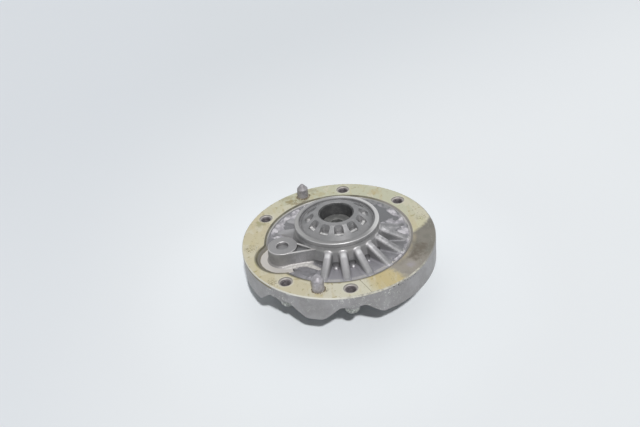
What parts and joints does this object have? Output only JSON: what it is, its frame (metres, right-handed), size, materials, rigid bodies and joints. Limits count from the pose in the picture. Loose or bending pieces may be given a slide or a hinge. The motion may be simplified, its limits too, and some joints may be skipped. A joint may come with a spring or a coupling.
{
  "type": "shock absorber bracket",
  "caption": "Round cast strut top mount: ribbed flange with a lobed skirt, bolt holes, locating pins, an ear, and a windowed hub round a rubber-bushed rod seat.",
  "frame": {"origin": "on the hub's axis, in the plane of the flange's top face", "axes": "+Z along the hub's axis, out of the flange's top face; the ear lies towards -X, the front locating pin towards -Y"},
  "size_m": [0.19, 0.19, 0.0836],
  "materials": {
    "cast_aluminium": "as-cast grey aluminium, worn and dusty, with a yellowed coating on the flange's face",
    "insert_steel": "dull steel, darkened",
    "pin_steel": "dull grey steel, scuffed",
    "bush_steel": "dark zinc-plated steel, dull",
    "seat_steel": "dull steel",
    "bush_rubber": "matt black rubber",
    "cup_steel": "black-coated pressed steel"
  },
  "bodies": {
    "root": {"housing": "cast_aluminium", "threaded_insert_1": "insert_steel", "threaded_insert_2": "insert_steel", "threaded_insert_3": "insert_steel", "threaded_insert_4": "insert_steel", "threaded_insert_5": "insert_steel", "locating_pin_rear": "pin_steel", "locating_pin_front": "pin_steel", "bush_sleeve": "bush_steel", "rod_seat": "seat_steel", "rubber_bush": "bush_rubber", "retaining_ring": "bush_steel", "bump_stop_cup": "cup_steel"}
  },
  "joints": []
}
